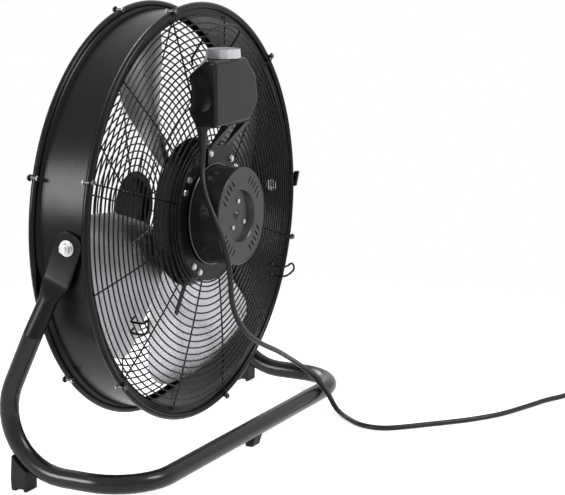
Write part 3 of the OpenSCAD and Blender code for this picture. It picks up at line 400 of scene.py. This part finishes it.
# ---- The tilt pivots ----
# A steel bolt through the drum's wall and the plate on each side, with washers and a flanged hexagon nut.
# The zinc plating is bright, with faint grey bloom and fine turning marks.
plated, tree, shader = new_material("zinc_plate")
shader.inputs["Metallic"].default_value = 1.0
place = tree.nodes.new("ShaderNodeTexCoord")
bloom = add_noise(tree, place.outputs["Object"], 260.0, 5.0, 0.65)
tint = tree.nodes.new("ShaderNodeValToRGB")
tint.color_ramp.elements[0].position = 0.35
tint.color_ramp.elements[0].color = (0.72, 0.73, 0.74, 1.0)
tint.color_ramp.elements[1].position = 0.75
tint.color_ramp.elements[1].color = (0.48, 0.48, 0.48, 1.0)
sheen = tree.nodes.new("ShaderNodeMapRange")
sheen.inputs["To Min"].default_value = 0.16
sheen.inputs["To Max"].default_value = 0.42
marks = tree.nodes.new("ShaderNodeTexWave")
marks.wave_type = "RINGS"
marks.inputs["Scale"].default_value = 420.0
marks.inputs["Distortion"].default_value = 3.0
rounded = tree.nodes.new("ShaderNodeBevel")
rounded.samples = 4
rounded.inputs["Radius"].default_value = 0.0004
scored = tree.nodes.new("ShaderNodeBump")
scored.inputs["Strength"].default_value = 0.12
scored.inputs["Distance"].default_value = 0.0002
tree.links.new(place.outputs["Object"], marks.inputs["Vector"])
tree.links.new(bloom, tint.inputs["Fac"])
tree.links.new(bloom, sheen.inputs["Value"])
tree.links.new(marks.outputs["Fac"], scored.inputs["Height"])
tree.links.new(rounded.outputs["Normal"], scored.inputs["Normal"])
tree.links.new(tint.outputs["Color"], shader.inputs["Base Color"])
tree.links.new(sheen.outputs["Result"], shader.inputs["Roughness"])
tree.links.new(scored.outputs["Normal"], shader.inputs["Normal"])
paint(plated, nodes["pivot_bolts"], nodes["pivot_washers"], nodes["pivot_nuts"], nodes["foot_screws"])

# ---- The drum ----
# A rolled steel band with a flared and beaded rim at each end, in the same coat as the stand.
# It carries both guards and hangs between the legs on the two pivot bolts.
drum_coat = coated("drum_coat", 0.004, 0.01, 0.22, 0.34, patch=5.0, specular=0.16, edge=0.0006)
paint(drum_coat, nodes["drum_shell"])

# ---- The clip on the drum's far side ----
# A small moulded clip that stands proud of the drum's wall behind the pivot, leaning outwards at its top.
# It is as black as the drum, and its foot is seated in the rim.
clip_low, clip_high = Vector((-0.2905, 0.0115, 0.314)), Vector((-0.2835, 0.0185, 0.336))
clip_lean = (-0.005, 0.002, 0.0)
clip_edge_r = 0.0012


def edit_new(name):
    """Names the object that was just added and selects all of it in edit mode."""
    piece = bpy.context.object
    piece.name = name
    bpy.ops.object.mode_set(mode="EDIT")
    bpy.ops.mesh.select_all(action="SELECT")
    return piece


def select_top(piece):
    """Selects those faces of a piece in edit mode that look up."""
    bpy.ops.mesh.select_all(action="DESELECT")
    bpy.ops.mesh.select_mode(type="FACE")
    shape = bmesh.from_edit_mesh(piece.data)
    for face in shape.faces:
        face.select_set(face.normal.z > 0.9)
    bmesh.update_edit_mesh(piece.data)


def modify(piece, kind, **settings):
    """Gives a piece a modifier with these settings and applies it."""
    modifier = piece.modifiers.new(kind.lower(), kind)
    for key, value in settings.items():
        setattr(modifier, key, value)
    bpy.ops.object.modifier_apply(modifier=modifier.name)


bpy.ops.object.select_all(action="DESELECT")
bpy.ops.mesh.primitive_cube_add(size=1.0)
clip = edit_new("drum_clip")
bpy.ops.transform.resize(value=clip_high - clip_low, center_override=(0.0, 0.0, 0.0))
bpy.ops.transform.translate(value=(clip_low + clip_high) / 2.0)
select_top(clip)
bpy.ops.transform.translate(value=clip_lean)
bpy.ops.object.mode_set(mode="OBJECT")
modify(clip, "BEVEL", width=clip_edge_r, segments=3)
bpy.ops.object.shade_smooth_by_angle(angle=math.radians(40.0))
paint(drum_coat, clip)
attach(clip, "drum")

# ---- The wire guards ----
# Rings and spokes of 2.2 mm wire, spot welded and coated black, one guard at each end of the drum.
# Every other spoke ends in a loop over the rim, held by a dark plated screw and a nut behind it.
wire_coat = coated("wire_coat", 0.004, 0.009, 0.22, 0.34, specular=0.16, edge=0.0)
paint(wire_coat, nodes["rear_guard_rings"], nodes["front_guard_rings"], nodes["front_centre_dish"],
      fair("rear_guard_spokes"), fair("front_guard_spokes"))
dark_screw = coated("dark_screw", 0.1, 0.12, 0.3, 0.5, metallic=0.9, grain=2400.0)
paint(dark_screw, nodes["rear_guard_screws"], nodes["front_guard_screws"])
paint(plated, nodes["guard_nuts"])

# ---- The carrying handle and the cord hooks ----
# Bent 3 mm wire, welded onto the rear guard and coated with it.
# The handle is at the top, and a hook on each side below the middle takes the wound cord.
paint(wire_coat, fair("carry_handle"), fair("cord_hook_left"), fair("cord_hook_right"))

# ---- The motor's housing ----
# A deep-drawn steel pot that reaches into the drum, in the darkest coat of all.
# Its broad flange lies on the drum's side of the rear guard's spokes, and the mounting bolts hold it.
motor_coat = coated("motor_coat", 0.003, 0.006, 0.26, 0.4, specular=0.08, edge=0.0008)
paint(motor_coat, nodes["motor_housing"])

# ---- The motor's front bell ----
# A wide bell of thin pressed steel round the front of the motor, with its rolled edge deep in the drum.
# It has a glossier black coat than the pot, and narrows towards the flange.
axis_z = 0.319
round_steps = 96
bell_profile = [(0.0990, 0.0016), (0.1012, 0.0022), (0.1018, 0.0036), (0.1010, 0.0056), (0.0975, 0.0125),
                (0.0945, 0.0190), (0.0925, 0.0250), (0.0915, 0.0300)]
bell_sheet = 0.0008
bpy.ops.object.select_all(action="DESELECT")
bpy.ops.mesh.primitive_circle_add(vertices=3, radius=0.001)
shroud = edit_new("motor_front_bell")
bpy.ops.mesh.delete(type="VERT")
shape = bmesh.from_edit_mesh(shroud.data)
corners = [shape.verts.new((r, y, 0.0)) for r, y in bell_profile]
for a, b in zip(corners, corners[1:]):
    shape.edges.new((a, b))
bmesh.update_edit_mesh(shroud.data)
bpy.ops.mesh.select_all(action="SELECT")
bpy.ops.mesh.spin(steps=round_steps, angle=math.tau, center=(0.0, 0.0, 0.0), axis=(0.0, 1.0, 0.0))
bpy.ops.mesh.select_all(action="SELECT")
bpy.ops.mesh.remove_doubles(threshold=0.00001)
bpy.ops.mesh.normals_make_consistent(inside=False)
bpy.ops.transform.translate(value=(0.0, 0.0, axis_z))
bpy.ops.object.mode_set(mode="OBJECT")
modify(shroud, "SOLIDIFY", thickness=bell_sheet, offset=0.0)
bpy.ops.object.shade_smooth_by_angle(angle=math.radians(35.0))
bell_coat = coated("bell_coat", 0.008, 0.014, 0.18, 0.3, specular=0.5, edge=0.0)
paint(bell_coat, shroud)
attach(shroud, "drum")

# ---- The barrel's lip ----
# A rolled bead round the foot of the motor's barrel, where the barrel meets the mounting ring.
# It is pressed into the barrel's sheet, and its coat is glossier than the pot's, with a lighter colour painted
# on as a highlight line along the bead.
lip_r, lip_bead_r, lip_y = 0.0683, 0.0015, 0.0381
bpy.ops.object.select_all(action="DESELECT")
bpy.ops.mesh.primitive_torus_add(major_radius=lip_r, minor_radius=lip_bead_r, major_segments=round_steps,
                                 minor_segments=12)
lip = edit_new("barrel_lip")
bpy.ops.transform.rotate(value=math.radians(90.0), orient_axis="X", center_override=(0.0, 0.0, 0.0))
bpy.ops.transform.translate(value=(0.0, lip_y, axis_z))
bpy.ops.object.mode_set(mode="OBJECT")
bpy.ops.object.shade_smooth()
# The light base colour, ten times the pot's, is a painted highlight along the bead; the high specular and low
# roughness give its gloss.
lip_painted_highlight_coat = coated("lip_painted_highlight_coat", 0.03, 0.04, 0.16, 0.26, specular=0.6, edge=0.0)
paint(lip_painted_highlight_coat, lip)
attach(lip, "drum")

# ---- The motor's rear cover ----
# A stamped cap with a sunk middle, a bearing dome and four groups of cooling slots.
# Its face has a duller grey-black coat than the pot's side.
cover_coat = coated("cover_coat", 0.016, 0.026, 0.22, 0.36, patch=14.0, specular=0.4, edge=0.0009)
paint(cover_coat, nodes["motor_rear_cover"])
paint(plated, nodes["motor_cover_screws"])

# ---- The mounting ring, the strap and their bolts ----
# A dark steel ring clamps the guard's spokes between itself and the motor's flange, with ten plated bolts.
# A flat painted strap lies against the flange and reaches outwards on the drum's side of the spokes.
plate_grey = coated("plate_grey", 0.012, 0.022, 0.34, 0.5, specular=0.2, edge=0.0005)
paint(plate_grey, nodes["motor_strap"])
paint(drum_coat, nodes["motor_mount_ring"])
paint(plated, nodes["motor_mount_bolts"])

# ---- Inside the motor ----
# A laminated stator and rotor, two ball bearings and a ground shaft, all of bare steel.
# They are pressed into the pot and onto the shaft, out of sight.
ground_steel = coated("ground_steel", 0.5, 0.4, 0.22, 0.4, metallic=1.0, grain=2000.0)
paint(ground_steel, nodes["front_bearing"], nodes["rear_bearing"], nodes["fan_shaft"],
      nodes["motor_stator"], nodes["rotor_core"])

# ---- The control box ----
# Two moulded halves in fine-grained black plastic, screwed together from the guard side.
# The long edges of both and the outline of the cover's face are rounded.
box_plastic = coated("box_plastic", 0.006, 0.014, 0.26, 0.38, grain=1400.0, depth=0.2, specular=0.25,
                     edge=0.001)
box_edge_r = 0.004
corner_angle = math.radians(25.0)
for name in ("control_box_base", "control_box_cover"):
    half = fair(name, 40.0)
    face_y = max(v.co.y for v in half.data.vertices)
    outline_y = face_y if name == "control_box_cover" else math.inf
    bpy.ops.object.mode_set(mode="EDIT")
    bpy.ops.mesh.select_all(action="SELECT")
    bpy.ops.mesh.dissolve_limited(angle_limit=math.radians(1.0))
    bpy.ops.mesh.select_all(action="DESELECT")
    bpy.ops.mesh.select_mode(type="EDGE")
    shape = bmesh.from_edit_mesh(half.data)
    for edge in shape.edges:
        a, b = (v.co for v in edge.verts)
        corner = edge.is_manifold and edge.is_convex and edge.calc_face_angle() > corner_angle
        along_y = abs(a.y - b.y) > 0.99 * (a - b).length and (a - b).length > 2.0 * box_edge_r
        in_face = min(a.y, b.y) > outline_y - 0.0001
        edge.select_set(corner and (along_y or in_face))
    bmesh.update_edit_mesh(half.data)
    bpy.ops.mesh.bevel(offset=box_edge_r, segments=4, clamp_overlap=True)
    bpy.ops.object.mode_set(mode="OBJECT")
    bpy.ops.object.shade_smooth_by_angle(angle=math.radians(30.0))
    paint(box_plastic, half)
paint(box_plastic, nodes["speed_switch"])
paint(plated, nodes["control_box_screws"])

# ---- The box's bracket ----
# Folded sheet in the same grey as the strap, with two arms that reach back under the box.
# Two of the motor's mounting bolts hold it.
paint(plate_grey, nodes["control_box_bracket"])

# ---- The capacitor and the knob's spindle ----
# A drawn aluminium can beside the switch, and the ground steel spindle that the knob is pressed onto.
# Both are out of sight, in the box and in the knob.
paint(ground_steel, nodes["run_capacitor"], nodes["knob_spindle"])

# ---- The gland and the plug ----
# Moulded in the same PVC as the cord's jacket. The gland's neck is held in the box's floor.
# The plug's pins are bare brass, moulded into its face.
paint(pvc, nodes["cord_gland"], nodes["mains_plug"])
pin_brass = coated("pin_brass", 0.6, 0.5, 0.25, 0.4, metallic=1.0)
paint(pin_brass, nodes["plug_pins"])

# ---- The speed knob ----
# A moulded knob with fourteen flat facets, sprayed silver and pressed onto the spindle above the box's lid.
# Its top is a little smaller than its foot and sunk within a narrow rim, and the edges are just broken.
knob_low, knob_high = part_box("speed_knob")
knob_r = (knob_high.x - knob_low.x) / 2.0
knob_h = 0.0122
knob_high.z = knob_low.z + knob_h
knob_facets = 14
first_facet = math.radians(-4.79)
knob_taper = 0.95
knob_rim_w, knob_dish = 0.004, 0.001
bpy.ops.object.select_all(action="DESELECT")
bpy.ops.mesh.primitive_cylinder_add(vertices=knob_facets, radius=knob_r, depth=knob_high.z - knob_low.z)
knob = edit_new("faceted_knob")
bpy.ops.transform.rotate(value=first_facet, orient_axis="Z", center_override=(0.0, 0.0, 0.0))
select_top(knob)
bpy.ops.transform.resize(value=(knob_taper, knob_taper, 1.0), center_override=(0.0, 0.0, 0.0))
bpy.ops.mesh.inset(thickness=knob_rim_w)
bpy.ops.transform.translate(value=(0.0, 0.0, -knob_dish))
bpy.ops.mesh.select_all(action="SELECT")
bpy.ops.transform.translate(value=(knob_low + knob_high) / 2.0)
bpy.ops.object.mode_set(mode="OBJECT")
modify(knob, "BEVEL", width=0.0005, segments=2)
knob_silver = coated("knob_silver", 0.62, 0.6, 0.2, 0.3, specular=0.5, edge=0.0, depth=0.03)
paint(knob_silver, knob)
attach(knob, "knob")
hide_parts("speed_knob")

# ---- The blades, their arms and the hub ----
# Four dished paddles of bare rolled aluminium, riveted to a plated steel spider on a turned hub.
# The hub is fixed on the motor's shaft and turns with it.
blade_metal = coated("blade_metal", 0.6, 0.5, 0.2, 0.36, patch=4.0, metallic=0.95, grain=300.0, depth=0.2)
paint(blade_metal, *(fair("blade_%d" % i, 40.0) for i in range(1, 5)))
hub_metal = coated("hub_metal", 0.25, 0.22, 0.35, 0.5, metallic=0.9)
paint(hub_metal, nodes["fan_hub"], fair("blade_arms", 40.0))
paint(plated, nodes["blade_rivets"])
